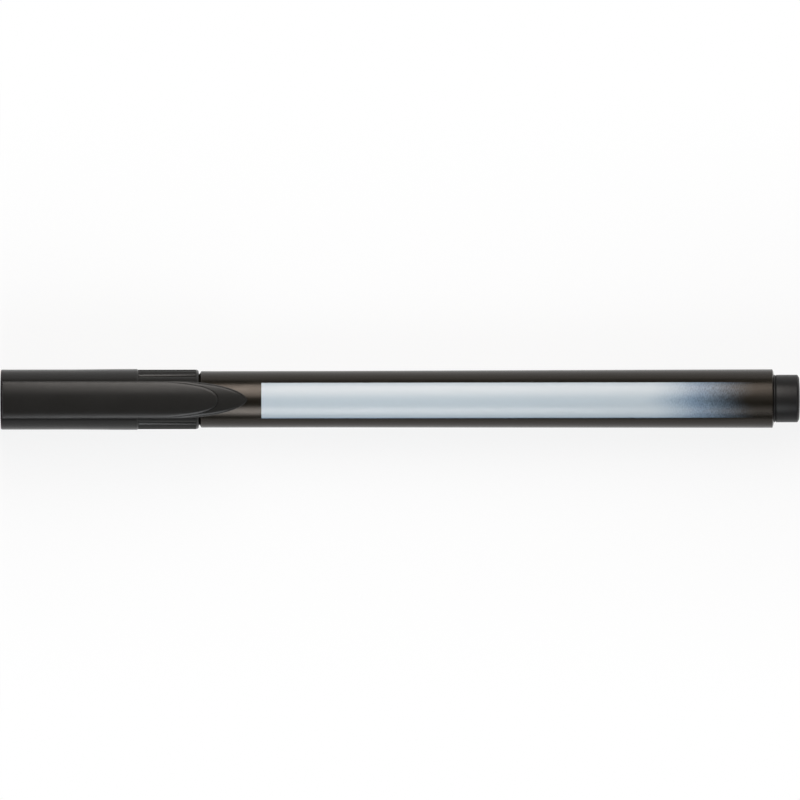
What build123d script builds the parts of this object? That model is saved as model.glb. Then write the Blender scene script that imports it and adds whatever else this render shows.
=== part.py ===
from build123d import *
from math import atan2, degrees, sqrt
import os

# A capped fineliner pen, lying on its side with the clip on top.
# X runs along the pen from the cap's crown to the end plug, and Z is up.
# The origin is under the middle of the pen, on the surface that it lies on.
# All sizes are in millimetres. Radii build up from the ink reservoir outwards,
# wall by wall, and stations along the pen are counted from the crown.

os.makedirs("parts", exist_ok=True)

# Ink reservoir: a fibre core in a film sleeve
core_diameter = 6.5
film_thickness = 0.1
reservoir_end_play = 0.05

# Barrel
barrel_length = 98.0
parallel_length = 22.0
barrel_flare = 0.18
shoulder_step = 0.59
shoulder_chamfer = 0.15
rear_bevel_length = 0.34
barrel_rib_count = 6
barrel_rib_width = 0.8
barrel_rib_height = 0.2
barrel_rib_clearance = 0.05
neck_wall = 0.65
neck_length = 8.4
neck_chamfer = 0.2
neck_bead_height = 0.11
neck_bead_width = 1.0
neck_bead_setback = 4.0

# Nib holder, pressed into the neck
press_clearance = 0.01
holder_spigot_length = 6.0
holder_spigot_chamfer = 0.3
holder_flange_width = 0.4
holder_flange_thickness = 0.7
holder_foot_width = 0.45
holder_foot_length = 1.6
holder_nose_length = 15.5
holder_nose_wall = 0.4
holder_nose_chamfer = 0.2
holder_recess_wall = 1.0
holder_recess_depth = 3.0
seal_land_drop = 1.45
seal_land_length = 6.3
air_groove_width = 0.8
air_groove_depth = 0.35

# Nib: a plastic rod in a swaged steel sleeve
tip_diameter = 0.48
tip_length = 0.8
tip_chamfer = 0.12
tip_clearance = 0.02
rod_diameter = 1.06
rod_clearance = 0.02
rod_bite = 6.0
rod_taper = 0.5
sleeve_wall = 0.35
sleeve_lip_wall = 0.15
sleeve_swage_length = 1.4
sleeve_exposed_length = 3.4
sleeve_seat_depth = 5.0

# Cap
cap_length = 34.05
mouth_gap = 0.25
cap_clearance = 0.14
cap_stop_gap = 0.05
mouth_wall = 0.70
mouth_chamfer = 0.35
mouth_lead_in = 0.2
grip_length = 10.4
grip_step = 0.12
grip_step_length = 0.2
flute_count = 25
flute_start_angle = 50.7
flute_side = 0.34
flute_depth = 0.2
flute_lip = 0.15
swell_length = 2.7
swell_rise_length = 7.9
swell_height = 0.065
crown_side_wall = 1.05
crown_wall = 1.4
crown_chamfer = 0.35
vent_diameter = 1.8

# Clip, moulded in one with the cap
clip_width = 6.2
clip_overhang = 8.25
clip_root_length = 6.0
clip_end_setback = 0.15
clip_gap = 0.75
clip_crown_radius = 10.0
tongue_thickness = 0.85
tongue_flank_radius = 28.8
tongue_tip_radius = 0.83
tongue_chamfer = 0.08
tongue_tip_drop = 0.55
tongue_tip_thickness = 0.4
nub_clearance = 0.2
nub_half_length = 2.4
pad_inset = 0.15
pad_step = 0.3
pad_overhang = 3.45
pad_nose_length = 10.4
pad_chamfer = 0.15

# Inner cap, snapped into the cap's bore, free to turn in it
vent_chamber = 1.0
liner_end_wall = 0.7
liner_wall = 0.55
liner_mouth_setback = 6.4
liner_end_chamfer = 0.4
liner_clearance = 0.03
liner_rib_count = 6
liner_rib_width = 1.4
liner_rib_length = 12.0
liner_snap_setback = 5.0
liner_snap_width = 1.2
liner_snap_height = 0.1
liner_snap_play = 0.08
seal_clearance = 0.03
seal_lip_height = 0.15
seal_lip_length = 1.2

# End plug, snapped into the barrel's rear
plug_length = 4.6
plug_seat_width = 0.47
plug_chamfer = 0.5
plug_spigot_length = 6.5
plug_spigot_chamfer = 0.3
plug_spigot_wall = 0.95
plug_end_wall = 1.3
plug_snap_setback = 3.2
plug_snap_width = 1.2
plug_snap_height = 0.1
plug_vane_count = 3
plug_vane_width = 0.8
plug_vane_length = 2.0
plug_vane_root = 3.0

# Radii, from the reservoir outwards
core_radius = core_diameter / 2
film_radius = core_radius + film_thickness
barrel_rib_radius = film_radius + barrel_rib_clearance
bore_radius = barrel_rib_radius + barrel_rib_height
neck_radius = bore_radius + neck_wall
bead_radius = neck_radius + neck_bead_height
shoulder_radius = neck_radius + shoulder_step
rear_radius = shoulder_radius + barrel_flare
cap_bore_radius = neck_radius + cap_clearance
grip_radius = cap_bore_radius + mouth_wall
swell_radius = grip_radius + grip_step
crown_radius = swell_radius - swell_height
cap_seat_radius = crown_radius - crown_side_wall
spigot_radius = bore_radius - press_clearance
flange_radius = bore_radius + holder_flange_width
foot_radius = flange_radius - holder_foot_width
land_radius = neck_radius - seal_land_drop
lip_radius = land_radius + seal_clearance
liner_bore_radius = lip_radius + seal_lip_height
liner_radius = liner_bore_radius + liner_wall
liner_rib_radius = cap_seat_radius - liner_clearance
liner_snap_radius = liner_rib_radius + liner_snap_height
snap_groove_radius = liner_snap_radius + liner_clearance
tip_radius = tip_diameter / 2
rod_radius = rod_diameter / 2
sleeve_bore_radius = rod_radius + rod_clearance
sleeve_radius = sleeve_bore_radius + sleeve_wall
sleeve_mouth_radius = tip_radius + tip_clearance
sleeve_lip_radius = sleeve_mouth_radius + sleeve_lip_wall
nose_radius = sleeve_radius + holder_nose_wall
plug_radius = bore_radius + plug_seat_width
plug_core_radius = spigot_radius - plug_spigot_wall
vent_radius = vent_diameter / 2

# Stations along the pen, counted from the crown
mouth_at = cap_length
shoulder_at = mouth_at + mouth_gap
neck_front_at = shoulder_at - neck_length
bead_at = neck_front_at + neck_bead_setback
barrel_rear_at = shoulder_at + barrel_length
pen_end_at = barrel_rear_at + plug_length
flange_front_at = neck_front_at - holder_flange_thickness
holder_rear_at = neck_front_at + holder_spigot_length
nose_at = neck_front_at - holder_nose_length
land_rear_at = flange_front_at - holder_foot_length
land_front_at = land_rear_at - seal_land_length
sleeve_rear_at = nose_at + sleeve_seat_depth
sleeve_front_at = nose_at - sleeve_exposed_length
tip_at = sleeve_front_at - tip_length
reservoir_front_at = holder_rear_at + reservoir_end_play
rod_rear_at = reservoir_front_at + rod_bite
plug_front_at = barrel_rear_at - plug_spigot_length
vane_front_at = plug_front_at - plug_vane_length
reservoir_rear_at = vane_front_at - reservoir_end_play
plug_snap_at = barrel_rear_at - plug_snap_setback
grip_at = mouth_at - grip_length
swell_at = grip_at - swell_length
cap_stop_at = neck_front_at - cap_stop_gap
liner_front_at = crown_wall + vent_chamber
liner_mouth_at = neck_front_at - liner_mouth_setback
liner_snap_at = liner_front_at + liner_snap_setback
clip_tip_at = mouth_at + clip_overhang
clip_end_at = crown_chamfer + clip_end_setback
pad_tip_at = mouth_at + pad_overhang

# Heights of the clip above the pen's axis, at its middle line
clip_floor = swell_radius + clip_gap
tongue_top = clip_floor + tongue_thickness
pad_top = tongue_top + pad_step
tongue_tip_top = tongue_top - tongue_tip_drop
tongue_tip_floor = tongue_tip_top - tongue_tip_thickness
nub_floor = shoulder_radius + nub_clearance
clip_root_floor = crown_radius - crown_side_wall / 2

# The pen's axis, and planes that count stations from the crown
overall_length = pen_end_at
axis_height = max(swell_radius, rear_radius)
crown_point = Vector(-overall_length / 2, 0, axis_height)
pen_axis = Axis(crown_point, (1, 0, 0))
clip_axis = Axis(crown_point + Vector(0, 0, pad_top - clip_crown_radius), (1, 0, 0))
profile_plane = Plane(crown_point, x_dir=(1, 0, 0), z_dir=(0, -1, 0))
plan_plane = Plane(crown_point, x_dir=(1, 0, 0), z_dir=(0, 0, 1))


def section_plane(station):
    """Plane across the pen at a station: local x is Y, local y is Z."""
    return Plane(crown_point + Vector(station, 0, 0), x_dir=(0, 1, 0), z_dir=(1, 0, 0))


# Fibre core, with the hole that the nib's rod fills
with BuildPart() as ink_reservoir:
    with BuildSketch(section_plane(reservoir_front_at)):
        Circle(core_radius)
    extrude(amount=reservoir_rear_at - reservoir_front_at)
    with BuildSketch(section_plane(reservoir_front_at)):
        Circle(rod_radius + rod_clearance)
    extrude(amount=rod_bite + rod_clearance, mode=Mode.SUBTRACT)

# Film sleeve around the fibre core
with BuildPart() as reservoir_film:
    with BuildSketch(section_plane(reservoir_front_at)):
        Circle(film_radius)
        Circle(core_radius, mode=Mode.SUBTRACT)
    extrude(amount=reservoir_rear_at - reservoir_front_at)

# Barrel: neck with a cap bead, shoulder, slow flare, bevelled rear rim and a snap groove
with BuildPart() as barrel:
    with BuildSketch(profile_plane):
        with BuildLine():
            Polyline(
                (neck_front_at, bore_radius),
                (neck_front_at, neck_radius - neck_chamfer),
                (neck_front_at + neck_chamfer, neck_radius),
                (bead_at - neck_bead_width / 2, neck_radius),
            )
            ThreePointArc(
                (bead_at - neck_bead_width / 2, neck_radius),
                (bead_at, bead_radius),
                (bead_at + neck_bead_width / 2, neck_radius),
            )
            Polyline(
                (bead_at + neck_bead_width / 2, neck_radius),
                (shoulder_at, neck_radius),
                (shoulder_at, shoulder_radius - shoulder_chamfer),
                (shoulder_at + shoulder_chamfer, shoulder_radius),
                (shoulder_at + parallel_length, shoulder_radius),
                (barrel_rear_at - rear_bevel_length, rear_radius),
                (barrel_rear_at, plug_radius),
                (barrel_rear_at, bore_radius),
                (plug_snap_at + plug_snap_width / 2, bore_radius),
                (plug_snap_at, bore_radius + plug_snap_height),
                (plug_snap_at - plug_snap_width / 2, bore_radius),
                (neck_front_at, bore_radius),
            )
        make_face()
    revolve(axis=pen_axis)
    with BuildSketch(section_plane(holder_rear_at)):
        with PolarLocations((barrel_rib_radius + bore_radius + neck_wall / 2) / 2, barrel_rib_count):
            Rectangle(barrel_rib_height + neck_wall / 2, barrel_rib_width)
    extrude(amount=plug_front_at - holder_rear_at)

# Nib holder: spigot and flange, foot, seal land and tapered nose, with an air groove
with BuildPart() as nib_holder:
    with BuildSketch(profile_plane):
        with BuildLine():
            Polyline(
                (nose_at, sleeve_radius + press_clearance),
                (nose_at, nose_radius - holder_nose_chamfer),
                (nose_at + holder_nose_chamfer, nose_radius),
                (land_front_at, land_radius),
                (land_rear_at, land_radius),
                (flange_front_at, foot_radius),
                (flange_front_at, flange_radius),
                (neck_front_at, flange_radius),
                (neck_front_at, spigot_radius),
                (holder_rear_at - holder_spigot_chamfer, spigot_radius),
                (holder_rear_at, spigot_radius - holder_spigot_chamfer),
                (holder_rear_at, spigot_radius - holder_recess_wall),
                (holder_rear_at - holder_recess_depth, spigot_radius - holder_recess_wall),
                (holder_rear_at - holder_recess_depth, rod_radius + rod_clearance),
                (sleeve_rear_at, rod_radius + rod_clearance),
                (sleeve_rear_at, sleeve_radius + press_clearance),
                close=True,
            )
        make_face()
    revolve(axis=pen_axis)
    with BuildSketch(section_plane(flange_front_at)):
        with Locations((0, -flange_radius)):
            Rectangle(air_groove_width, 2 * (flange_radius - spigot_radius + air_groove_depth))
    extrude(amount=holder_rear_at - flange_front_at, mode=Mode.SUBTRACT)

# Steel sleeve, swaged down to the writing tip
with BuildPart() as nib_sleeve:
    swage_at = sleeve_front_at + sleeve_swage_length
    with BuildSketch(profile_plane):
        with BuildLine():
            Polyline(
                (sleeve_front_at, sleeve_mouth_radius),
                (sleeve_front_at, sleeve_lip_radius),
                (swage_at, sleeve_radius),
                (sleeve_rear_at, sleeve_radius),
                (sleeve_rear_at, sleeve_bore_radius),
                (swage_at, sleeve_bore_radius),
                (swage_at - rod_taper, sleeve_mouth_radius),
                close=True,
            )
        make_face()
    revolve(axis=pen_axis)

# Nib: the writing tip and the rod that feeds it from the fibre core
with BuildPart() as nib_rod:
    with BuildSketch(profile_plane):
        with BuildLine():
            Polyline(
                (tip_at, 0),
                (tip_at, tip_radius - tip_chamfer),
                (tip_at + tip_chamfer, tip_radius),
                (swage_at - rod_taper + rod_clearance, tip_radius),
                (swage_at + rod_clearance, rod_radius),
                (rod_rear_at, rod_radius),
                (rod_rear_at, 0),
                close=True,
            )
        make_face()
    revolve(axis=pen_axis)

# Clip tongue: its side profile turned about the clip's own axis, trimmed to a pointed plan
with BuildPart() as clip_tongue:
    with BuildSketch(profile_plane):
        with BuildLine():
            Polyline(
                (clip_root_length, clip_root_floor),
                (clip_end_at, clip_root_floor),
                (clip_end_at, tongue_top),
                (pad_tip_at, tongue_top),
                (clip_tip_at, tongue_tip_top),
                (clip_tip_at, tongue_tip_floor),
                (clip_tip_at - nub_half_length, nub_floor),
                (clip_tip_at - 2 * nub_half_length, clip_floor),
                (clip_root_length, clip_floor),
                close=True,
            )
        make_face()
    revolve(axis=clip_axis)
    half_width = clip_width / 2
    flank_rise = tongue_flank_radius - half_width
    flank_run = sqrt((tongue_flank_radius - tongue_tip_radius) ** 2 - flank_rise**2)
    flank_angle = degrees(atan2(flank_run, flank_rise))
    flank_at = clip_tip_at - tongue_tip_radius - flank_run
    with BuildSketch(plan_plane):
        with BuildLine():
            Polyline((clip_end_at, 0), (clip_end_at, half_width), (flank_at, half_width))
            flank = JernArc((flank_at, half_width), (1, 0), tongue_flank_radius, -flank_angle)
            JernArc(flank @ 1, flank % 1, tongue_tip_radius, flank_angle - 90)
            mirror(about=Plane.XZ)
        make_face()
    extrude(amount=pad_top, mode=Mode.INTERSECT)
    tongue_faces = clip_tongue.faces().filter_by(lambda face: face.normal_at().Z > 0.5)
    tongue_rim = [edge for edge in tongue_faces.edges() if tongue_faces.edges().count(edge) == 1]
    chamfer(tongue_rim, tongue_chamfer)

# Raised pad on the clip, with an elliptical nose
with BuildPart() as clip_pad:
    pad_half_width = half_width - pad_inset
    with BuildSketch(profile_plane):
        with BuildLine():
            Polyline(
                (clip_end_at, clip_floor),
                (clip_end_at, pad_top),
                (pad_tip_at, pad_top),
                (pad_tip_at, clip_floor + tongue_thickness / 2),
                (clip_root_length, clip_floor + tongue_thickness / 2),
                (clip_root_length, clip_floor),
                close=True,
            )
        make_face()
    revolve(axis=clip_axis)
    with BuildSketch(plan_plane):
        with BuildLine():
            pad_nose_at = pad_tip_at - pad_nose_length
            Polyline((clip_end_at, 0), (clip_end_at, pad_half_width), (pad_nose_at, pad_half_width))
            EllipticalCenterArc((pad_nose_at, 0), pad_nose_length, pad_half_width, arc_size=90)
            mirror(about=Plane.XZ)
        make_face()
    extrude(amount=pad_top, mode=Mode.INTERSECT)
    chamfer(clip_pad.faces().sort_by(Axis.Z)[-1].edges(), pad_chamfer)

# Cap: flat crown, slow swell, fluted grip and moulded clip, bored for the neck and the inner cap
with BuildPart() as cap:
    with BuildSketch(profile_plane):
        with BuildLine():
            Polyline(
                (0, 0),
                (0, crown_radius - crown_chamfer),
                (crown_chamfer, crown_radius),
                (swell_at - swell_rise_length, crown_radius),
                (swell_at, swell_radius),
                (grip_at - grip_step_length, swell_radius),
                (grip_at, grip_radius),
                (mouth_at - mouth_chamfer, grip_radius),
                (mouth_at, grip_radius - mouth_chamfer),
                (mouth_at, 0),
                close=True,
            )
        make_face()
    revolve(axis=pen_axis)
    with BuildSketch(section_plane(grip_at)):
        with PolarLocations(
            grip_radius - flute_depth + flute_side * sqrt(3) / 2,
            flute_count,
            start_angle=90 + flute_start_angle,
            angular_range=360 - 2 * flute_start_angle,
            endpoint=True,
        ):
            RegularPolygon(flute_side, 6, rotation=30)
    extrude(amount=grip_length - mouth_chamfer - flute_lip, mode=Mode.SUBTRACT)
    add(clip_tongue.part)
    add(clip_pad.part)
    with BuildSketch(profile_plane):
        with BuildLine():
            Polyline(
                (0, 0),
                (0, vent_radius),
                (crown_wall, vent_radius),
                (crown_wall, cap_seat_radius),
                (liner_snap_at - liner_snap_width / 2, cap_seat_radius),
                (liner_snap_at - liner_snap_width / 2, snap_groove_radius),
                (liner_snap_at + liner_snap_width / 2, snap_groove_radius),
                (liner_snap_at + liner_snap_width / 2, cap_seat_radius),
                (cap_stop_at, cap_seat_radius),
                (cap_stop_at, cap_bore_radius),
                (mouth_at - mouth_lead_in, cap_bore_radius),
                (mouth_at, cap_bore_radius + mouth_lead_in),
                (mouth_at, 0),
                close=True,
            )
        make_face()
    revolve(axis=pen_axis, mode=Mode.SUBTRACT)

# Ribs of the inner cap, each with a snap nib, cut from one turned ring
with BuildPart() as liner_ribs:
    rib_front_at = liner_front_at + liner_end_chamfer
    rib_rear_at = rib_front_at + liner_rib_length
    snap_front_at = liner_snap_at - liner_snap_width / 2 + liner_snap_play
    snap_rear_at = liner_snap_at + liner_snap_width / 2 - liner_snap_play
    with BuildSketch(profile_plane):
        with BuildLine():
            Polyline(
                (rib_front_at, liner_bore_radius + liner_wall / 2),
                (rib_front_at, liner_rib_radius),
                (snap_front_at, liner_rib_radius),
                (snap_front_at, liner_snap_radius),
                (snap_rear_at, liner_snap_radius),
                (snap_rear_at, liner_rib_radius),
                (rib_rear_at, liner_rib_radius),
                (rib_rear_at, liner_bore_radius + liner_wall / 2),
                close=True,
            )
        make_face()
    revolve(axis=pen_axis)
    with BuildSketch(section_plane(rib_front_at)):
        with PolarLocations(snap_groove_radius / 2, liner_rib_count):
            Rectangle(snap_groove_radius, liner_rib_width)
    extrude(amount=liner_rib_length, mode=Mode.INTERSECT)

# Inner cap: a cup whose lip seals on the nib holder
with BuildPart() as inner_cap:
    with BuildSketch(profile_plane):
        with BuildLine():
            Polyline(
                (liner_front_at, 0),
                (liner_front_at, liner_radius - liner_end_chamfer),
                (liner_front_at + liner_end_chamfer, liner_radius),
                (liner_mouth_at, liner_radius),
                (liner_mouth_at, liner_bore_radius),
                (liner_mouth_at - seal_lip_height, lip_radius),
                (liner_mouth_at - seal_lip_length, lip_radius),
                (liner_mouth_at - seal_lip_length - seal_lip_height, liner_bore_radius),
                (liner_front_at + liner_end_wall, liner_bore_radius),
                (liner_front_at + liner_end_wall, 0),
                close=True,
            )
        make_face()
    revolve(axis=pen_axis)
    add(liner_ribs.part)

# End plug: knob, hollow snap spigot, and vanes that hold the reservoir
with BuildPart() as end_plug:
    with BuildSketch(profile_plane):
        with BuildLine():
            Polyline(
                (plug_front_at, plug_core_radius),
                (plug_front_at, spigot_radius - plug_spigot_chamfer),
                (plug_front_at + plug_spigot_chamfer, spigot_radius),
                (plug_snap_at - plug_snap_width / 2, spigot_radius),
                (plug_snap_at, spigot_radius + plug_snap_height),
                (plug_snap_at + plug_snap_width / 2, spigot_radius),
                (barrel_rear_at, spigot_radius),
                (barrel_rear_at, plug_radius),
                (pen_end_at - plug_chamfer, plug_radius),
                (pen_end_at, plug_radius - plug_chamfer),
                (pen_end_at, 0),
                (pen_end_at - plug_end_wall, 0),
                (pen_end_at - plug_end_wall, plug_core_radius),
                close=True,
            )
        make_face()
    revolve(axis=pen_axis)
    with BuildSketch(section_plane(vane_front_at)):
        with PolarLocations(spigot_radius / 2 - plug_spigot_wall / 4, plug_vane_count):
            Rectangle(spigot_radius - plug_spigot_wall / 2, plug_vane_width)
    extrude(amount=plug_vane_length + plug_vane_root)

pieces = {
    "cap": cap,
    "inner_cap": inner_cap,
    "barrel": barrel,
    "nib_holder": nib_holder,
    "nib_sleeve": nib_sleeve,
    "nib_rod": nib_rod,
    "ink_reservoir": ink_reservoir,
    "reservoir_film": reservoir_film,
    "end_plug": end_plug,
}
for name, piece in pieces.items():
    piece.part.label = name
    export_step(piece.part, f"parts/{name}.step")
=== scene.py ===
import math
from collections import namedtuple
import bmesh
import bpy
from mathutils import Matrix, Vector


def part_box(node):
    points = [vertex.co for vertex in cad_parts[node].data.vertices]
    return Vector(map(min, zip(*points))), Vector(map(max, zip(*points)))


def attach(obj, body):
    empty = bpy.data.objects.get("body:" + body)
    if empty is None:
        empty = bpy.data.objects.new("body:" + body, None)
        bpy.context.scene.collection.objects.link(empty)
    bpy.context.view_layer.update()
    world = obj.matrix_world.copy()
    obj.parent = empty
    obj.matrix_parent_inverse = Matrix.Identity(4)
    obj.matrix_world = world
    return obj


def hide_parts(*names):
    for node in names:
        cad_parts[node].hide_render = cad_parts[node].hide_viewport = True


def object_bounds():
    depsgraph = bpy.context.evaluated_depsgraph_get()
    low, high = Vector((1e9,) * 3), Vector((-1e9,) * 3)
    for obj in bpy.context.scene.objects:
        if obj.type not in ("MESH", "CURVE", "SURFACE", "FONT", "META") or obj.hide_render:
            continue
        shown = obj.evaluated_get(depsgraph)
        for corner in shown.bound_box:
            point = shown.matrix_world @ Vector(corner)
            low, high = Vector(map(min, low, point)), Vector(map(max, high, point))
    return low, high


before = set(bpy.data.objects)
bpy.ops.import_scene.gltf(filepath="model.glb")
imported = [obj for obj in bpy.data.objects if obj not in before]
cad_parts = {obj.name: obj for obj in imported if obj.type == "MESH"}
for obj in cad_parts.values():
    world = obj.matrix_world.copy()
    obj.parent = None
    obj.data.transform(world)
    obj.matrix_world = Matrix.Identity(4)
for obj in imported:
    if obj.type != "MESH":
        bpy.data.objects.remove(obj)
cad_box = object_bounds()

# A capped fineliner pen, seen from straight above its clip.
# Shapes are given in millimetres, as stations from the cap's crown along the pen and
# radii from its axis. The frame, the floor, the camera and the lamps are in metres.
MM = 0.001

# Places and sizes that the frame gives
cap_low, cap_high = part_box("cap")
barrel_low, barrel_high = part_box("barrel")
plug_low, plug_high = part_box("end_plug")
holder_low, holder_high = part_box("nib_holder")
sleeve_low, sleeve_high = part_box("nib_sleeve")
rod_low, rod_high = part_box("nib_rod")
crown_x = cap_low.x
axis_z = (barrel_low.z + barrel_high.z) / 2


def station(x):
    """Millimetres from the crown to a place along X."""
    return (x - crown_x) / MM


def half_width(low, high):
    """Half of a box's width across the pen, in millimetres."""
    return (high.y - low.y) / 2 / MM


# The barrel's rear rim ends this much further back than its solid
rear_rim_reach = 0.11
clip_tip_at = station(cap_high.x)
neck_front_at = station(barrel_low.x)
barrel_rear_at = station(barrel_high.x) + rear_rim_reach
plug_front_at = station(plug_low.x)
pen_end_at = station(plug_high.x)
nose_at = station(holder_low.x)
holder_rear_at = station(holder_high.x)
sleeve_front_at = station(sleeve_low.x)
sleeve_rear_at = station(sleeve_high.x)
tip_at = station(rod_low.x)
rod_rear_at = station(rod_high.x)
swell_radius = half_width(cap_low, cap_high)
rear_radius = half_width(barrel_low, barrel_high)
plug_radius = half_width(plug_low, plug_high)
flange_radius = half_width(holder_low, holder_high)
sleeve_radius = half_width(sleeve_low, sleeve_high)
rod_radius = half_width(rod_low, rod_high)
pad_top = (cap_high.z - axis_z) / MM

# Barrel
neck_length = 8.4
mouth_gap = 0.25
parallel_length = 22.0
barrel_flare = 0.18
shoulder_step = 0.59
bore_radius = 3.6
neck_rounding = 0.2
neck_root = 0.3
neck_bead_height = 0.11
neck_bead_width = 1.0
neck_bead_setback = 4.0
neck_bead_rounding = 0.6
shoulder_rounding = 0.27
rear_bevel_length = 0.24
rear_bevel_bulge = 0.05
rear_bevel_rounding = 0.08
rear_bulge_rounding = 0.8
shoulder_at = neck_front_at + neck_length
shoulder_radius = rear_radius - barrel_flare
neck_radius = shoulder_radius - shoulder_step

# Cap
mouth_at = shoulder_at - mouth_gap
crown_dome = 0.12
crown_rounding = 0.3
crown_wall = 1.4
crown_side_wall = 1.05
vent_radius = 0.9
vent_rounding = 0.15
swell_length = 2.7
swell_rise_length = 7.9
swell_height = 0.065
swell_rounding = 30.0
grip_length = 10.4
grip_step = 0.12
grip_step_length = 0.2
grip_step_rounding = 0.06
mouth_lip_rounding = 0.1
mouth_lead_in = 0.2
cap_clearance = 0.14
cap_stop_gap = 0.05
grip_at = mouth_at - grip_length
swell_at = grip_at - swell_length
crown_radius = swell_radius - swell_height
grip_radius = swell_radius - grip_step
cap_bore_radius = neck_radius + cap_clearance
cap_seat_radius = crown_radius - crown_side_wall
cap_stop_at = neck_front_at - cap_stop_gap

# Flutes of the cap's grip, all round except under the clip
flute_count = 25
flute_start = math.radians(50.7)
flute_depth = 0.17
flute_end_length = 0.12
flute_lip = 0.45
flute_pitch = (2 * math.pi - 2 * flute_start) / (flute_count - 1)
flutes_end_at = mouth_at - flute_lip

# Clip: a tongue with a raised pad on it. Both have straight sides that run into a long nose,
# whose outline is a curve with one power along the pen and one across it.
clip_half_width = 3.15
clip_end_at = 0.5
clip_root_length = 6.0
clip_root_rounding = 0.6
clip_gap = 0.75
clip_hollow_radius = 10.0
clip_crown = 0.0265
clip_side_fall = 0.00206
soft_edge_width = 0.55
draft_run = 6.0
tongue_thickness = 0.85
tongue_nose_length = 12.3
tongue_nose_powers = (2.0, 1.79)
tongue_side_rounding = 0.05
tongue_nose_rounding = 0.25
tongue_edge_fall = 0.14
tongue_tip_drop = 0.25
tongue_tip_thickness = 0.55
nub_clearance = 0.2
nub_half_length = 2.4
pad_inset = 0.07
pad_overhang = 3.45
pad_nose_length = 10.4
pad_nose_powers = (2.4, 2.4)
pad_rounding = 0.1
pad_edge_fall = 0.075
pad_draft = 0.16
pad_sink = 0.2
clip_floor = swell_radius + clip_gap
clip_root_floor = crown_radius - crown_side_wall / 2
tongue_top = clip_floor + tongue_thickness
tongue_nose_at = clip_tip_at - tongue_nose_length
nub_at = clip_tip_at - nub_half_length
nub_floor = shoulder_radius + nub_clearance
pad_half_width = clip_half_width - pad_inset
pad_tip_at = mouth_at + pad_overhang
pad_nose_at = pad_tip_at - pad_nose_length

# End plug
plug_collar_length = 0.18
plug_groove_width = 0.24
plug_groove_depth = 0.14
plug_groove_rounding = 0.06
plug_edge_length = 0.45
plug_edge_inset = 0.5
plug_edge_rounding = 0.3
plug_dome = 0.14
plug_seat_clearance = 0.01
spigot_radius = bore_radius - plug_seat_clearance

# Nib holder, steel sleeve and nib
holder_nose_wall = 0.4
holder_nose_rounding = 0.2
holder_flange_thickness = 0.7
holder_flange_rounding = 0.08
holder_foot_width = 0.45
holder_foot_length = 1.6
holder_foot_rounding = 0.5
seal_land_drop = 1.45
seal_land_length = 6.3
seal_land_rounding = 4.0
air_groove_width = 0.8
air_groove_depth = 0.35
press_clearance = 0.01
sleeve_wall = 0.35
sleeve_lip_wall = 0.15
sleeve_lip_rounding = 0.05
sleeve_swage_length = 1.4
sleeve_swage_rounding = 1.2
sleeve_seat_depth = 5.0
tip_radius = 0.24
tip_rounding = 0.14
tip_clearance = 0.02
nose_radius = sleeve_radius + holder_nose_wall
land_radius = neck_radius - seal_land_drop
flange_front_at = neck_front_at - holder_flange_thickness
land_rear_at = flange_front_at - holder_foot_length
land_front_at = land_rear_at - seal_land_length
swage_at = sleeve_front_at + sleeve_swage_length

# How finely the meshes follow their curves
turn_segments = 160
arc_step = math.radians(9)
fewest_arc_steps = 2
dome_steps = 8
flute_steps = 12
flute_end_steps = 6
clip_side_steps = 60
clip_columns = 36
edge_steps = 9
root_steps = 10
nose_steps = 60
nose_point_half_width = 0.001
axis_radius = 1e-6
smooth_angle = math.radians(32)
weld_distance = 0.0025


# Helpers for shapes


def place(at, across, up):
    """Point in the frame from a station, an offset across the pen and a height over its axis."""
    return Vector((crown_x + at * MM, across * MM, axis_z + up * MM))


def rounded(corners):
    """Outline points from corners (station, radius) or (station, radius, rounding)."""
    points = []
    for index, corner in enumerate(corners):
        here = Vector(corner[:2])
        if len(corner) == 2:
            points.append(here)
            continue
        rounding = corner[2]
        before = Vector(corners[index - 1][:2]) - here
        after = Vector(corners[(index + 1) % len(corners)][:2]) - here
        opening = before.angle(after)
        turn = math.pi - opening
        inwards = (before.normalized() + after.normalized()).normalized()
        middle = here + inwards * (rounding / math.sin(opening / 2))
        start = here + before.normalized() * (rounding / math.tan(opening / 2)) - middle
        steps = max(fewest_arc_steps, math.ceil(turn / arc_step))
        way = math.copysign(turn / steps, before.cross(after))
        for step in range(steps + 1):
            angle = -way * step
            along = start.x * math.cos(angle) - start.y * math.sin(angle)
            out = start.x * math.sin(angle) + start.y * math.cos(angle)
            points.append(middle + Vector((along, out)))
    return points


def dome(at, height, rim_radius, start_radius=0.0):
    """Points of a shallow dome from start_radius out to rim_radius, bulging to the station at."""
    sphere = (rim_radius**2 + height**2) / (2 * height)
    points = []
    for step in range(dome_steps):
        radius = start_radius + (rim_radius - start_radius) * step / dome_steps
        points.append((at + sphere - math.sqrt(sphere**2 - radius**2), radius))
    return points


def shade(mesh):
    """Shades the faces smooth, up to the smooth angle between them."""
    mesh.shade_smooth()
    mesh.set_sharp_from_angle(angle=smooth_angle)


def new_object(name, mesh):
    """Object of this mesh, in the scene."""
    thing = bpy.data.objects.new(name, mesh)
    bpy.context.scene.collection.objects.link(thing)
    shade(mesh)
    return thing


def solid(name, shape):
    """Object of a finished shape, with its faces turned outwards."""
    bmesh.ops.recalc_face_normals(shape, faces=shape.faces)
    mesh = bpy.data.meshes.new(name)
    shape.to_mesh(mesh)
    shape.free()
    return new_object(name, mesh)


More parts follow.
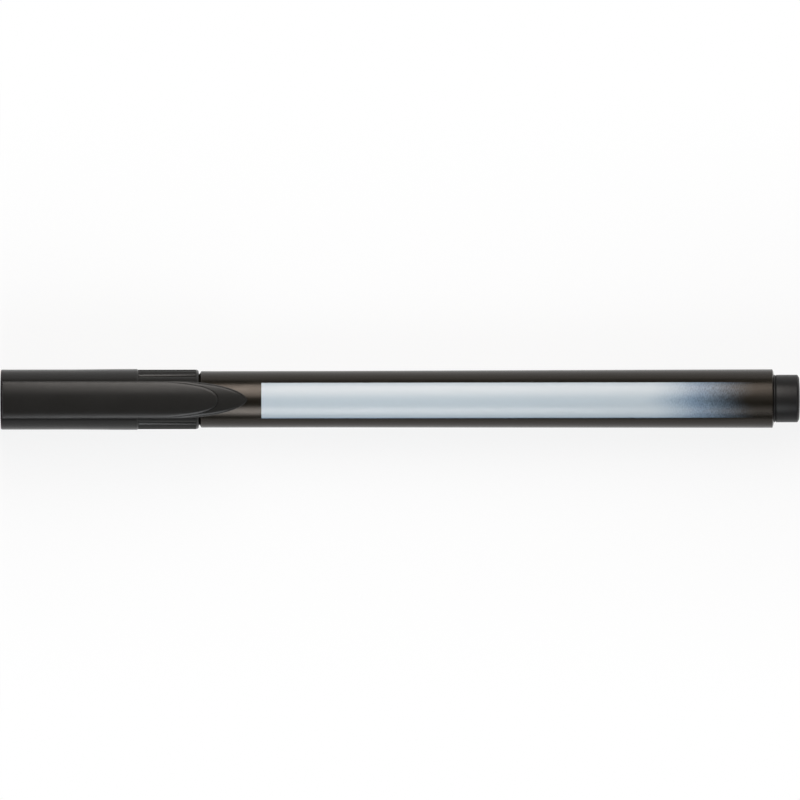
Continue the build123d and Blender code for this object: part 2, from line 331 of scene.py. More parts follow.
def turned(name, outline, closed=True, angles=None, radius_at=None):
    """Solid turned about the pen's axis. Angles count from the clip's side towards +Y."""
    if angles is None:
        angles = [2 * math.pi * step / turn_segments for step in range(turn_segments)]
    shape = bmesh.new()
    rings = []
    for at, radius in outline:
        if radius < axis_radius:
            rings.append([shape.verts.new(place(at, 0, 0))])
            continue
        ring = []
        for angle in angles:
            reach = radius_at(at, radius, angle) if radius_at else radius
            ring.append(shape.verts.new(place(at, reach * math.sin(angle), reach * math.cos(angle))))
        rings.append(ring)
    pairs = list(zip(rings, rings[1:]))
    if closed:
        pairs.append((rings[-1], rings[0]))
    for first, second in pairs:
        for step in range(len(angles)):
            corners = [first[step % len(first)], first[(step + 1) % len(first)]]
            corners += [second[(step + 1) % len(second)], second[step % len(second)]]
            shape.faces.new(dict.fromkeys(corners))
    return solid(name, shape)


def slab(name, rows, top_rows, height, floor):
    """Solid whose foot and top follow rows of (station, half width). Their levels are given by
    the functions floor and height, of the station and the offset across."""
    shape = bmesh.new()
    columns = range(-clip_columns, clip_columns + 1)
    shares = [math.sin(math.pi / 2 * column / clip_columns) for column in columns]
    tops = []
    bottoms = []
    for sheet, outline, level in ((tops, top_rows, height), (bottoms, rows, floor)):
        for at, half in outline:
            offsets = [half * share for share in shares]
            sheet.append([shape.verts.new(place(at, across, level(at, across))) for across in offsets])
    for sheet in (tops, bottoms):
        for first, second in zip(sheet, sheet[1:]):
            for step in range(len(shares) - 1):
                shape.faces.new((first[step], first[step + 1], second[step + 1], second[step]))
    for column in (0, -1):
        for row in range(len(rows) - 1):
            upper = (tops[row][column], tops[row + 1][column])
            lower = (bottoms[row + 1][column], bottoms[row][column])
            shape.faces.new(upper + lower)
    for row in (0, -1):
        for step in range(len(shares) - 1):
            upper = (tops[row][step], tops[row][step + 1])
            lower = (bottoms[row][step + 1], bottoms[row][step])
            shape.faces.new(upper + lower)
    return solid(name, shape)


def weld(mesh):
    """Closes up edges that are too short to see. The points are put in order first, so that
    each run gives the same result."""
    shape = bmesh.new()
    shape.from_mesh(mesh)
    ordered = sorted(shape.verts, key=lambda point: tuple(point.co))
    ranks = {point: rank for rank, point in enumerate(ordered)}
    shape.verts.sort(key=ranks.get)
    bmesh.ops.remove_doubles(shape, verts=shape.verts, dist=weld_distance * MM)
    bmesh.ops.dissolve_degenerate(shape, edges=shape.edges, dist=weld_distance * MM)
    shape.to_mesh(mesh)
    shape.free()


def combine(base, other, operation):
    """Joins another solid to the base, or cuts it away, and removes the other."""
    step = base.modifiers.new("combine", "BOOLEAN")
    step.operation = operation
    step.solver = "EXACT"
    step.object = other
    view = bpy.context.evaluated_depsgraph_get()
    mesh = bpy.data.meshes.new_from_object(base.evaluated_get(view))
    base.modifiers.clear()
    base.data = mesh
    bpy.data.objects.remove(other)
    weld(mesh)
    shade(mesh)


def ease(share):
    """Smooth step from 0 to 1."""
    share = min(1.0, max(0.0, share))
    return share * share * (3 - 2 * share)


# Clip

Nose = namedtuple("Nose", "start_at length half_width along_power aside_power")
tongue_nose = Nose(tongue_nose_at, tongue_nose_length, clip_half_width, *tongue_nose_powers)
pad_nose = Nose(pad_nose_at, pad_nose_length, pad_half_width, *pad_nose_powers)


def rim_drop(distance, rounding):
    """How far a rounded edge lies below the face at this distance from the rim."""
    inside = max(0.0, rounding - max(0.0, distance))
    return rounding - math.sqrt(rounding**2 - inside**2)


def soft_edge(distance, fall):
    """How far a softened top face lies below its crown at this distance from the rim."""
    near = max(0.0, 1 - max(0.0, distance) / soft_edge_width)
    return fall * near**2


def crowned(level, across):
    """Height of a clip face that has this level on the middle line and falls faster at the sides."""
    return level - clip_crown * across**2 - clip_side_fall * across**4


def hollowed(level, across):
    """Height of the clip's underside, which runs round an axis below the pen's own."""
    axis_level = pad_top - clip_hollow_radius
    return axis_level + math.sqrt((level - axis_level) ** 2 - across**2)


def nose_slope(nose, along, aside):
    """Direction square to a nose's outline, from shares of the nose's length and half width."""
    rise = nose.along_power * along ** (nose.along_power - 1) / nose.length
    return Vector((rise, nose.aside_power * aside ** (nose.aside_power - 1) / nose.half_width))


def rim_distance(nose, at, across):
    """Distance from a point of the tongue's or the pad's plan to its rim."""
    if at <= nose.start_at:
        return min(nose.half_width - abs(across), at - clip_end_at)
    along = (at - nose.start_at) / nose.length
    aside = abs(across) / nose.half_width
    inside = 1 - along**nose.along_power - aside**nose.aside_power
    return inside / nose_slope(nose, along, aside).length


def nose_rows(nose, inset=0.0):
    """Rows along a nose, moved in from its rim by an inset that grows along the nose."""
    rows = []
    for step in range(nose_steps + 1):
        angle = math.pi / 2 * step / nose_steps
        along = math.sin(angle) ** (2 / nose.along_power)
        aside = max(0.0, math.cos(angle)) ** (2 / nose.aside_power)
        grown = ease(along * nose.length / draft_run)
        square = nose_slope(nose, along, aside).normalized() * inset * grown
        half = max(aside * nose.half_width - square.y, nose_point_half_width)
        rows.append((nose.start_at + along * nose.length - square.x, half))
    return rows


def edge_rows(rounding, half):
    """Close rows over the rounded rear edge of the tongue or the pad."""
    return [(clip_end_at + rounding * step / edge_steps, half) for step in range(edge_steps + 1)]


def tongue_height(at, across):
    """Top face of the tongue, which bends down past the pad."""
    bend = max(0.0, at - pad_tip_at) / (clip_tip_at - pad_tip_at)
    level = tongue_top - tongue_tip_drop * bend**2
    distance = rim_distance(tongue_nose, at, across)
    along_nose = ease((at - tongue_nose_at) / draft_run)
    rounding = tongue_side_rounding + (tongue_nose_rounding - tongue_side_rounding) * along_nose
    fall = rim_drop(distance, rounding) + soft_edge(distance, tongue_edge_fall * along_nose)
    return crowned(level, across) - fall


def tongue_floor(at, across):
    """Underside of the tongue: root in the cap's wall, open gap, and the nub near the tip."""
    past_root = ease((at - clip_root_length) / clip_root_rounding)
    level = clip_root_floor + (clip_floor - clip_root_floor) * past_root
    if at > nub_at - nub_half_length:
        tip_floor = tongue_top - tongue_tip_drop - tongue_tip_thickness
        base = clip_floor if at < nub_at else tip_floor
        swell = 0.5 + 0.5 * math.cos(math.pi * (at - nub_at) / nub_half_length)
        level = base + (nub_floor - base) * swell
    return hollowed(level, across)


def tongue_rows():
    """Rows along the tongue, closest at its rear edge, where it leaves the cap and at its nose."""
    rows = edge_rows(tongue_side_rounding, clip_half_width)
    for step in range(root_steps + 1):
        rows.append((clip_root_length + clip_root_rounding * step / root_steps, clip_half_width))
    return rows + nose_rows(tongue_nose)


def pad_height(at, across):
    """Top face of the pad, with its rounded rim."""
    along_nose = ease((at - pad_nose_at) / draft_run)
    distance = rim_distance(pad_nose, at, across) - pad_draft * along_nose
    fall = rim_drop(distance, pad_rounding) + soft_edge(distance, pad_edge_fall * along_nose)
    return crowned(pad_top, across) - fall


def pad_floor(at, across):
    """Underside of the pad, sunk into the tongue."""
    return crowned(tongue_top - pad_sink, across)


def pad_rows(inset):
    """Rows along the pad, closest at its rear edge and its nose, which is inset for its top."""
    return edge_rows(pad_rounding, pad_half_width) + nose_rows(pad_nose, inset)


# Cap


def flute_angles():
    """Angles round the cap: fine steps over the flutes, and even steps under the clip."""
    first = flute_start - flute_pitch / 2
    fluted = 2 * math.pi - 2 * first
    plain = 2 * first
    fine_steps = flute_count * flute_steps
    angles = [first + fluted * step / fine_steps for step in range(fine_steps)]
    angles += [first + fluted + plain * step / clip_side_steps for step in range(clip_side_steps)]
    return angles


def fluted_radius(at, radius, angle):
    """Radius of the cap's outside, cut by the grip's flutes."""
    if radius < cap_bore_radius + mouth_lead_in or not grip_at <= at <= flutes_end_at:
        return radius
    turn = (angle - flute_start + flute_pitch / 2) % (2 * math.pi)
    if turn > flute_pitch * flute_count:
        return radius
    from_groove = abs(turn % flute_pitch - flute_pitch / 2) / (flute_pitch / 2)
    ends = ease((at - grip_at) / flute_end_length) * ease((flutes_end_at - at) / flute_end_length)
    return radius - flute_depth * ends * (1 - from_groove**2)


def make_cap():
    """Cap with its moulded clip, fluted grip and bores, as one solid."""
    crown_face = dome(0, crown_dome, crown_radius, vent_radius + vent_rounding)
    vent_edge_at = vent_rounding + crown_dome * (vent_radius / crown_radius) ** 2
    corners = [
        (crown_wall, vent_radius),
        (vent_edge_at, vent_radius),
        *[point for point in crown_face if point[1] < crown_radius - crown_rounding],
        (crown_dome, crown_radius, crown_rounding),
        (swell_at - swell_rise_length, crown_radius, swell_rounding),
        (swell_at, swell_radius, swell_rounding),
        (grip_at - grip_step_length, swell_radius, grip_step_rounding),
        (grip_at, grip_radius, grip_step_rounding),
    ]
    for step in range(1, flute_end_steps + 1):
        past_step = grip_step_rounding + flute_end_length * step / flute_end_steps
        corners.append((grip_at + past_step, grip_radius))
    for step in range(flute_end_steps + 1):
        before_end = flute_end_length * (1 - step / flute_end_steps)
        corners.append((flutes_end_at - before_end, grip_radius))
    corners += [
        (mouth_at, grip_radius, flute_lip),
        (mouth_at, cap_bore_radius + mouth_lead_in, mouth_lip_rounding),
        (mouth_at - mouth_lead_in, cap_bore_radius),
        (cap_stop_at, cap_bore_radius),
        (cap_stop_at, cap_seat_radius),
        (crown_wall, cap_seat_radius),
    ]
    cap = turned("cap_shell", rounded(corners), angles=flute_angles(), radius_at=fluted_radius)
    rows = tongue_rows()
    combine(cap, slab("clip_tongue", rows, rows, tongue_height, tongue_floor), "UNION")
    combine(cap, slab("clip_pad", pad_rows(0), pad_rows(pad_draft), pad_height, pad_floor), "UNION")
    return cap


# Barrel, plug and writing end


def make_barrel():
    """Barrel with its neck, cap bead, coned neck root, shoulder, slow flare and bevelled rear rim."""
    bead_at = neck_front_at + neck_bead_setback
    bead_half = neck_bead_width / 2
    rear_middle_at = barrel_rear_at - rear_bevel_length / 2 + rear_bevel_bulge
    corners = [
        (neck_front_at, bore_radius),
        (neck_front_at, neck_radius, neck_rounding),
        (bead_at - bead_half, neck_radius, neck_bead_rounding),
        (bead_at, neck_radius + neck_bead_height, neck_bead_rounding),
        (bead_at + bead_half, neck_radius, neck_bead_rounding),
        (shoulder_at - neck_root, neck_radius),
        (shoulder_at, neck_radius + neck_root),
        (shoulder_at, shoulder_radius, shoulder_rounding),
        (shoulder_at + parallel_length, shoulder_radius),
        (barrel_rear_at - rear_bevel_length, rear_radius, rear_bevel_rounding),
        (rear_middle_at, (rear_radius + plug_radius) / 2, rear_bulge_rounding),
        (barrel_rear_at, plug_radius),
        (barrel_rear_at, bore_radius),
    ]
    return turned("barrel_shell", rounded(corners))


def make_plug():
    """End plug: spigot in the barrel, seat collar, fine groove and a domed knob."""
    collar_end_at = barrel_rear_at + plug_collar_length
    groove_end_at = collar_end_at + plug_groove_width
    face_radius = plug_radius - plug_edge_inset
    end_face = [
        (2 * pen_end_at - at, radius)
        for at, radius in reversed(dome(pen_end_at, plug_dome, face_radius))
        if radius < face_radius - plug_edge_rounding
    ]
    corners = [
        (plug_front_at, 0),
        (plug_front_at, spigot_radius),
        (barrel_rear_at, spigot_radius),
        (barrel_rear_at, plug_radius),
        (collar_end_at, plug_radius, plug_groove_rounding),
        ((collar_end_at + groove_end_at) / 2, plug_radius - plug_groove_depth),
        (groove_end_at, plug_radius, plug_groove_rounding),
        (pen_end_at - plug_edge_length, plug_radius, plug_edge_rounding),
        (pen_end_at - plug_dome, face_radius, plug_edge_rounding),
        *end_face,
    ]
    return turned("plug_shell", rounded(corners), closed=False)


def make_holder():
    """Nib holder: tapered nose, seal land, foot and flange, with the air groove below."""
    sleeve_bore = sleeve_radius + press_clearance
    rod_bore = rod_radius + press_clearance
    seat_at = nose_at + sleeve_seat_depth
    corners = [
        (nose_at, sleeve_bore),
        (nose_at, nose_radius, holder_nose_rounding),
        (land_front_at, land_radius, seal_land_rounding),
        (land_rear_at, land_radius, holder_foot_rounding),
        (flange_front_at, flange_radius - holder_foot_width, holder_foot_rounding / 2),
        (flange_front_at, flange_radius, holder_flange_rounding),
        (neck_front_at, flange_radius),
        (neck_front_at, spigot_radius),
        (holder_rear_at, spigot_radius),
        (holder_rear_at, rod_bore),
        (seat_at, rod_bore),
        (seat_at, sleeve_bore),
    ]
    holder = turned("holder_shell", rounded(corners))
    groove_half = air_groove_width / 2
    groove_rows = [(flange_front_at - press_clearance, groove_half), (neck_front_at, groove_half)]
    groove = slab(
        "air_groove",
        groove_rows,
        groove_rows,
        lambda at, across: air_groove_depth - spigot_radius,
        lambda at, across: -flange_radius - air_groove_depth,
    )
    combine(holder, groove, "DIFFERENCE")
    return holder


def make_sleeve():
    """Steel sleeve with its swaged end."""
    mouth_radius = tip_radius + tip_clearance
    corners = [
        (sleeve_front_at, mouth_radius, sleeve_lip_rounding),
        (sleeve_front_at, mouth_radius + sleeve_lip_wall, sleeve_lip_rounding),
        (swage_at, sleeve_radius, sleeve_swage_rounding),
        (sleeve_rear_at, sleeve_radius),
        (sleeve_rear_at, sleeve_radius - sleeve_wall),
        (swage_at, sleeve_radius - sleeve_wall),
        (sleeve_front_at + sleeve_lip_wall, mouth_radius),
    ]
    return turned("sleeve_shell", rounded(corners))


def make_nib():
    """Writing tip and the rod behind it."""
    corners = [
        (tip_at, 0),
        (tip_at, tip_radius, tip_rounding),
        (sleeve_front_at + sleeve_lip_wall, tip_radius),
        (swage_at + tip_clearance, rod_radius),
        (rod_rear_at, rod_radius),
        (rod_rear_at, 0),
    ]
    return turned("nib", rounded(corners), closed=False)


# Helpers for node trees. Sizes and depths of noise are in millimetres, and most of a noise
# lies between these two values.
noise_low = 0.3
noise_high = 0.7
noise_middle = (noise_low + noise_high) / 2
noise_detail = 3.0
smooth_detail = 1.0


def plain_shader(name):
    """New node material: the material, its tree and its main shader."""
    material = bpy.data.materials.new(name)
    material.use_nodes = True
    tree = material.node_tree
    return material, tree, tree.nodes["Principled BSDF"]


def feed(tree, socket, value):
    """Sets an input socket to a number or colour, or links another node's output to it."""
    if isinstance(value, bpy.types.NodeSocket):
        tree.links.new(value, socket)
    else:
        socket.default_value = value


def calc(tree, operation, *values):
    """Math node."""
    node = tree.nodes.new("ShaderNodeMath")
    node.operation = operation
    for socket, value in zip(node.inputs, values):
        feed(tree, socket, value)
    return node.outputs[0]


def spread(tree, value, start, end, low, high, smooth=False):
    """Map Range node: start to end becomes low to high."""
    node = tree.nodes.new("ShaderNodeMapRange")
    node.interpolation_type = "SMOOTHSTEP" if smooth else "LINEAR"
    for socket, number in zip(node.inputs, (value, start, end, low, high)):
        feed(tree, socket, number)
    return node.outputs[0]


def blended(tree, share, first, second):
    """Mix node for two colours."""
    node = tree.nodes.new("ShaderNodeMix")
    node.data_type = "RGBA"
    feed(tree, node.inputs["Factor"], share)
    feed(tree, node.inputs["A"], first)
    feed(tree, node.inputs["B"], second)
    return node.outputs["Result"]


def coordinates(tree, stretch=(1, 1, 1)):
    """Places on the piece in metres, stretched along each axis."""
    source = tree.nodes.new("ShaderNodeTexCoord")
    mapping = tree.nodes.new("ShaderNodeMapping")
    mapping.inputs["Scale"].default_value = stretch
    tree.links.new(source.outputs["Object"], mapping.inputs["Vector"])
    return mapping.outputs["Vector"]


def split(tree, vector):
    """Separate XYZ node: the outputs X, Y and Z of a vector."""
    node = tree.nodes.new("ShaderNodeSeparateXYZ")
    tree.links.new(vector, node.inputs[0])
    return node.outputs


def noise(tree, where, size, detail=noise_detail):
    """Noise whose features are about this size."""
    node = tree.nodes.new("ShaderNodeTexNoise")
    node.inputs["Scale"].default_value = 1 / (size * MM)
    node.inputs["Detail"].default_value = detail
    tree.links.new(where, node.inputs["Vector"])
    return node.outputs["Fac"]


def tone(tree, shader, share, dark, light):
    """Base colour that follows a noise from dark to light."""
    feed(tree, shader.inputs["Base Color"], blended(tree, share, (*dark, 1), (*light, 1)))


def gloss(tree, shader, share, low, high):
    """Roughness that follows a noise from low to high."""
    feed(tree, shader.inputs["Roughness"], spread(tree, share, noise_low, noise_high, low, high))


def relief(tree, shader, height, depth):
    """Bump of this depth on the main shader."""
    node = tree.nodes.new("ShaderNodeBump")
    node.inputs["Distance"].default_value = depth * MM
    tree.links.new(height, node.inputs["Height"])
    tree.links.new(node.outputs["Normal"], shader.inputs["Normal"])


# Moulded plastics
mould_cloud_size = 6.0
mould_gloss_size = 1.1
mould_gloss_change = 0.04
mould_ior = 1.28


def moulded(name, dark, light, roughness, grain_size, grain_depth, ior=mould_ior):
    """Moulded plastic: cloudy colour and gloss, and the fine grain of the mould."""
    material, tree, shader = plain_shader(name)
    where = coordinates(tree)
    cloud = noise(tree, where, mould_cloud_size)
    tone(tree, shader, cloud, dark, light)
    fine = noise(tree, where, mould_gloss_size, smooth_detail)
    mixed = calc(tree, "DIVIDE", calc(tree, "ADD", fine, cloud), 2)
    gloss(tree, shader, mixed, roughness - mould_gloss_change, roughness + mould_gloss_change)
    shader.inputs["IOR"].default_value = ior
    relief(tree, shader, noise(tree, where, grain_size, smooth_detail), grain_depth)
    return material


cap_plastic = moulded(
    "cap_plastic",
    dark=(0.0165, 0.0163, 0.0155),
    light=(0.0195, 0.0192, 0.0186),
    roughness=0.22,
    grain_size=1.8,
    grain_depth=0.0015,
    ior=1.26,
)
plug_plastic = moulded(
    "plug_plastic",
    dark=(0.0135, 0.0135, 0.0135),
    light=(0.0165, 0.0165, 0.0168),
    roughness=0.36,
    grain_size=1.4,
    grain_depth=0.0015,
    ior=1.25,
)
holder_plastic = moulded(
    "holder_plastic",
    dark=(0.010, 0.010, 0.0105),
    light=(0.014, 0.014, 0.0145),
    roughness=0.4,
    grain_size=0.12,
    grain_depth=0.002,
)
nib_plastic = moulded(
    "nib_plastic",
    dark=(0.012, 0.012, 0.016),
    light=(0.03, 0.03, 0.036),
    roughness=0.5,
    grain_size=0.05,
    grain_depth=0.002,
)
liner_plastic = moulded(
    "liner_plastic",
    dark=(0.72, 0.72, 0.67),
    light=(0.80, 0.80, 0.76),
    roughness=0.42,
    grain_size=0.2,
    grain_depth=0.002,
)

# Lacquered barrel
barrel_dark = (0.0086, 0.0075, 0.0054)
barrel_light = (0.0101, 0.0088, 0.0065)
lacquer_ior = 1.37
lacquer_tint = (1.0, 0.88, 0.78)
lacquer_roughness_low = 0.20
lacquer_roughness_high = 0.27
lacquer_cloud_size = 9.0
lacquer_streak_size = 0.7
lacquer_streak_stretch = (0.25, 1, 1)
lacquer_wave_size = 1.6
lacquer_wave_depth = 0.0015

# Pale panel on the barrel
panel_pale = (0.48, 0.565, 0.63)
panel_blue = (0.33, 0.48, 0.66)
panel_edge = (0.25, 0.37, 0.52)
panel_edge_strength = 0.8
panel_edge_band = 0.22
panel_edge_softness = 0.045
panel_half_width = 3.03
panel_middle = -0.195
panel_start_at = 44.72
panel_start_softness = 0.06
panel_fade_at = 109.0
panel_end_at = 128.2
# How much later the print's fade comes off the middle line: painted highlight, more pale print under
# the highlight bands
painted_highlight_fade_lag = 1.5
panel_blue_by = 0.5
screen_grain = 0.2
screen_stretch = (1, 0.5, 0.5)
screen_strength = 1.7


def panel_cover(tree, along, from_middle, up, fade):
    """Share of the panel's print on the barrel: between two edges on the clip's side, from a
    crisp start to a fade that is printed as a fine uneven grain, drawn out across the pen."""
    edge_start = panel_half_width - panel_edge_softness
    edge_end = panel_half_width + panel_edge_softness
    inside = spread(tree, from_middle, edge_start, edge_end, 1, 0, True)
    inside = calc(tree, "MULTIPLY", inside, calc(tree, "GREATER_THAN", up, 0))
    started = spread(tree, along, panel_start_at, panel_start_at + panel_start_softness, 0, 1, True)
    grain = noise(tree, coordinates(tree, screen_stretch), screen_grain, smooth_detail)
    screen = calc(tree, "MULTIPLY", calc(tree, "SUBTRACT", grain, noise_middle), screen_strength)
    half_faded = calc(tree, "MULTIPLY", fade, calc(tree, "SUBTRACT", 1, fade))
    screened = calc(tree, "MULTIPLY_ADD", screen, half_faded, fade)
    left = spread(tree, screened, 0, 1, 1, 0)
    return calc(tree, "MULTIPLY", calc(tree, "MULTIPLY", inside, started), left)


def panel_colour(tree, aside, fade):
    """Colour of the print: pale, bluer as it fades, and darker along its lower edge."""
    bluer = spread(tree, fade, 0, panel_blue_by, 0, 1)
    pale = blended(tree, bluer, (*panel_pale, 1), (*panel_blue, 1))
    band_end = panel_edge_band - panel_half_width
    low_edge = spread(tree, aside, -panel_half_width, band_end, panel_edge_strength, 0, True)
    return blended(tree, low_edge, pale, (*panel_edge, 1))


def printed_barrel():
    """Glossy lacquered barrel with a bare pale panel, whose fade comes a little later off the
    middle line, where the highlights fall: partly print, partly painted highlight there."""
    material, tree, shader = plain_shader("printed_barrel")
    where = coordinates(tree)
    axes = split(tree, where)
    along = calc(tree, "DIVIDE", calc(tree, "SUBTRACT", axes["X"], crown_x), MM)
    up = calc(tree, "SUBTRACT", axes["Z"], axis_z)
    aside = calc(tree, "SUBTRACT", calc(tree, "DIVIDE", axes["Y"], MM), panel_middle)
    from_middle = calc(tree, "ABSOLUTE", aside)
    # The later fade off the middle line puts more pale print under the highlights: painted highlight,
    # brighter and bluer there
    painted_highlight_lag = spread(tree, from_middle, 0, panel_half_width / 2, 0, painted_highlight_fade_lag, True)
    fade = spread(tree, calc(tree, "SUBTRACT", along, painted_highlight_lag), panel_fade_at, panel_end_at, 0, 1, True)

    cloud = noise(tree, where, lacquer_cloud_size)
    body = blended(tree, cloud, (*barrel_dark, 1), (*barrel_light, 1))
    cover = panel_cover(tree, along, from_middle, up, fade)
    colour = blended(tree, cover, body, panel_colour(tree, aside, fade))
    tree.links.new(colour, shader.inputs["Base Color"])

    streaks = noise(tree, coordinates(tree, lacquer_streak_stretch), lacquer_streak_size)
    gloss(tree, shader, streaks, lacquer_roughness_low, lacquer_roughness_high)
    shader.inputs["IOR"].default_value = lacquer_ior
    shader.inputs["Specular Tint"].default_value = (*lacquer_tint, 1)
    relief(tree, shader, noise(tree, where, lacquer_wave_size), lacquer_wave_depth)
    return material


# Steel of the sleeve
steel_dark = (0.56, 0.56, 0.57)
steel_light = (0.66, 0.655, 0.64)
steel_tarnish_size = 1.2
steel_streak_size = 0.05
steel_streak_stretch = (0.06, 1, 1)
steel_streak_depth = 0.0004
steel_roughness_low = 0.2
steel_roughness_high = 0.36


def drawn_steel():
    """Drawn steel tube: fine streaks along the draw, and a slight tarnish."""
    material, tree, shader = plain_shader("drawn_steel")
    streaks = noise(tree, coordinates(tree, steel_streak_stretch), steel_streak_size)
    tarnish = noise(tree, coordinates(tree), steel_tarnish_size)
    tone(tree, shader, tarnish, steel_dark, steel_light)
    shader.inputs["Metallic"].default_value = 1.0
    gloss(tree, shader, streaks, steel_roughness_low, steel_roughness_high)
    relief(tree, shader, streaks, steel_streak_depth)
    return material


# Fibre of the ink reservoir
fibre_dark = (0.02, 0.02, 0.03)
fibre_light = (0.09, 0.09, 0.12)
fibre_roughness = 0.8
fibre_strand_size = 0.08
fibre_strand_stretch = (0.02, 1, 1)
fibre_strand_depth = 0.03


def soaked_fibre():
    """Ink-soaked fibre bundle, streaked along its length."""
    material, tree, shader = plain_shader("soaked_fibre")
    strands = noise(tree, coordinates(tree, fibre_strand_stretch), fibre_strand_size)
    tone(tree, shader, strands, fibre_dark, fibre_light)
    shader.inputs["Roughness"].default_value = fibre_roughness
    relief(tree, shader, strands, fibre_strand_depth)
    return material


# Film round the reservoir
film_dark = (0.70, 0.72, 0.75)
film_light = (0.80, 0.82, 0.85)
film_clearness = 0.5
film_roughness_low = 0.1
film_roughness_high = 0.2
film_streak_size = 0.8
film_streak_stretch = (0.05, 1, 1)


def clear_film():
    """Clear wrapping film with a faint lengthwise streak."""
    material, tree, shader = plain_shader("clear_film")
    streaks = noise(tree, coordinates(tree, film_streak_stretch), film_streak_size)
    tone(tree, shader, streaks, film_dark, film_light)
    shader.inputs["Transmission Weight"].default_value = film_clearness
    gloss(tree, shader, streaks, film_roughness_low, film_roughness_high)
    return material


# Pieces that stand for CAD nodes: the piece, its body, the node, the slot and the finish
new_pieces = [
    (make_cap(), "cap", "cap", "cap_plastic", cap_plastic),
    (make_barrel(), "pen", "barrel", "barrel_plastic", printed_barrel()),
    (make_plug(), "pen", "end_plug", "plug_plastic", plug_plastic),
    (make_holder(), "pen", "nib_holder", "holder_plastic", holder_plastic),
    (make_sleeve(), "pen", "nib_sleeve", "sleeve_steel", drawn_steel()),
    (make_nib(), "pen", "nib_rod", "nib_plastic", nib_plastic),
]
for piece, body, node, slot, material in new_pieces:
    piece.data.materials.clear()
    piece.data.materials.append(material)
    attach(piece, body)
    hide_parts(node)

# CAD nodes that keep their own shape
kept_nodes = {
    "inner_cap": liner_plastic,
    "ink_reservoir": soaked_fibre(),
    "reservoir_film": clear_film(),
}
for node, material in kept_nodes.items():
    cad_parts[node].data.materials.clear()
    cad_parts[node].data.materials.append(material)

# Floor: pale, white to the camera and in reflections, with a soft shadow round the pen.
# It lies just below the clip of a cap that is turned over.
floor_colour = (0.88, 0.90, 0.92)
floor_roughness = 0.9
floor_half_size = 8.0
floor_white_near = 0.85
floor_near = 0.012
floor_far = 0.055
floor_clearance = 0.00005
floor_z = axis_z - pad_top * MM - floor_clearance


def floor_glow(tree):
    """Share of plain white in the floor: all of it away from the pen, a little less round it,
    and none for the rays that light the pen."""
    rays = tree.nodes.new("ShaderNodeLightPath").outputs
    seen = calc(tree, "MAXIMUM", rays["Is Camera Ray"], rays["Is Glossy Ray"])
    seen = calc(tree, "MAXIMUM", seen, rays["Is Transmission Ray"])
    axes = split(tree, coordinates(tree))
    beyond = calc(tree, "SUBTRACT", calc(tree, "ABSOLUTE", axes["X"]), cad_box[1].x - floor_near)
    beyond = calc(tree, "MAXIMUM", beyond, 0)
    away = calc(tree, "POWER", axes["Y"], 2)
    away = calc(tree, "SQRT", calc(tree, "MULTIPLY_ADD", beyond, beyond, away))
    white = spread(tree, away, floor_near, floor_far, floor_white_near, 1, True)
    return calc(tree, "MULTIPLY", seen, white)


def make_floor():
    """Pale floor under the pen."""
    corners = [(-1, -1), (1, -1), (1, 1), (-1, 1)]
    points = [(x * floor_half_size, y * floor_half_size, floor_z) for x, y in corners]
    mesh = bpy.data.meshes.new("floor")
    mesh.from_pydata(points, [], [range(len(points))])
    floor = new_object("floor", mesh)
    material, tree, shader = plain_shader("floor_white")
    shader.inputs["Base Color"].default_value = (*floor_colour, 1)
    shader.inputs["Roughness"].default_value = floor_roughness
    shader.inputs["Specular IOR Level"].default_value = 0.0
    glow = tree.nodes.new("ShaderNodeEmission")
    glow.inputs["Strength"].default_value = 1.0
    mix = tree.nodes.new("ShaderNodeMixShader")
    tree.links.new(floor_glow(tree), mix.inputs[0])
    tree.links.new(shader.outputs[0], mix.inputs[1])
    tree.links.new(glow.outputs[0], mix.inputs[2])
    tree.links.new(mix.outputs[0], tree.nodes["Material Output"].inputs["Surface"])
    mesh.materials.append(material)


make_floor()

# Studio world: dim overhead, and white up to a low height over the horizon
world_overhead = 0.07
world_horizon = 1.0
white_up_to = 0.03
dim_from = 0.12


def make_world():
    """World that is white low down and dim above."""
    world = bpy.data.worlds.new("studio")
    bpy.context.scene.world = world
    world.use_nodes = True
    tree = world.node_tree
    source = tree.nodes.new("ShaderNodeTexCoord")
    height = split(tree, source.outputs["Generated"])["Z"]
    level = spread(tree, height, white_up_to, dim_from, world_horizon, world_overhead, True)
    tree.links.new(level, tree.nodes["Background"].inputs["Strength"])
    tree.nodes["Background"].inputs["Color"].default_value = (1, 1, 1, 1)


make_world()

# Two long soft boxes with grids, one on each side of the pen, and a weak one past the plug
lamp_distance = 0.45


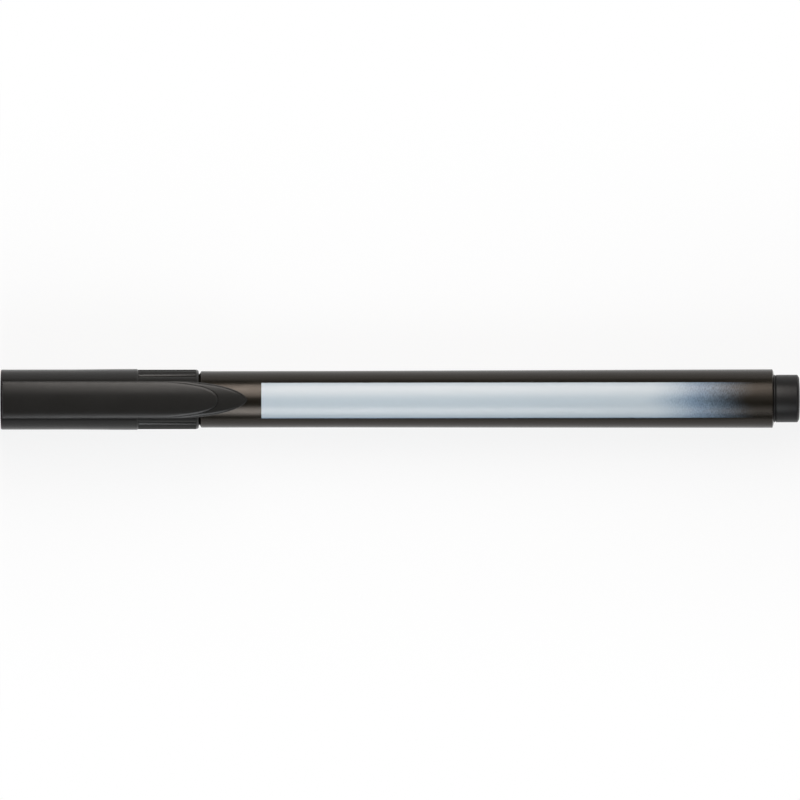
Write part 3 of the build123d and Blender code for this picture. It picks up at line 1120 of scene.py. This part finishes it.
def soft_box(name, lean, inner, outer, grid, power, colour, length, middle_x, turn=0):
    """Soft box that leans from overhead by an angle in degrees, towards +Y before its turn about
    the vertical. It reaches by the inner angle back to overhead and by the outer angle on, and
    its grid dims it to nothing at the grid angle."""
    data = bpy.data.lights.new(name, "AREA")
    data.shape = "RECTANGLE"
    inner_edge = lamp_distance * math.tan(math.radians(inner))
    outer_edge = lamp_distance * math.tan(math.radians(outer))
    data.size = length
    data.size_y = inner_edge + outer_edge
    data.spread = math.radians(2 * grid)
    data.energy = power
    data.color = colour
    lamp = bpy.data.objects.new(name, data)
    bpy.context.scene.collection.objects.link(lamp)
    angle = math.radians(lean)
    aside = math.copysign(1, lean) * (outer_edge - inner_edge) / 2
    across = lamp_distance * math.sin(angle) + aside * math.cos(angle)
    up = lamp_distance * math.cos(angle) - aside * math.sin(angle)
    swing = math.radians(turn)
    lamp.location = (middle_x - across * math.sin(swing), across * math.cos(swing), axis_z + up)
    lamp.rotation_euler = (-angle, 0, swing)
    lamp.visible_camera = False


soft_box(
    "key_box",
    lean=43,
    inner=35,
    outer=20,
    grid=42,
    power=0.575,
    colour=(1.0, 0.945, 0.90),
    length=0.185,
    middle_x=-0.0055,
)
soft_box(
    "fill_box",
    lean=-49,
    inner=23,
    outer=23,
    grid=23,
    power=0.124,
    colour=(0.95, 0.975, 1.0),
    length=0.166,
    middle_x=-0.017,
)
soft_box(
    "end_box",
    lean=38,
    inner=27,
    outer=20,
    grid=90,
    power=0.11,
    colour=(1.0, 1.0, 1.0),
    length=0.09,
    middle_x=0.0,
    turn=-90,
)

# Camera: nearly straight above, the pen across the whole picture
camera_lens = 1500.0
camera_sensor = 36.0
camera_lean = math.radians(0.6)
picture_width = 0.1369
picture_drop = 0.00016
picture_tilt = math.radians(0.08)
camera_height = picture_width * camera_lens / camera_sensor
camera_aside = camera_height * math.sin(camera_lean)
camera_data = bpy.data.cameras.new("camera")
camera_data.lens = camera_lens
camera_data.sensor_width = camera_sensor
camera_data.clip_end = 2 * camera_height
camera = bpy.data.objects.new("camera", camera_data)
camera.location = (0, camera_aside - picture_drop, axis_z + camera_height * math.cos(camera_lean))
camera.rotation_mode = "ZYX"
camera.rotation_euler = (-camera_lean, 0, -picture_tilt)
bpy.context.scene.collection.objects.link(camera)
bpy.context.scene.camera = camera
bpy.context.scene.view_settings.view_transform = "Standard"
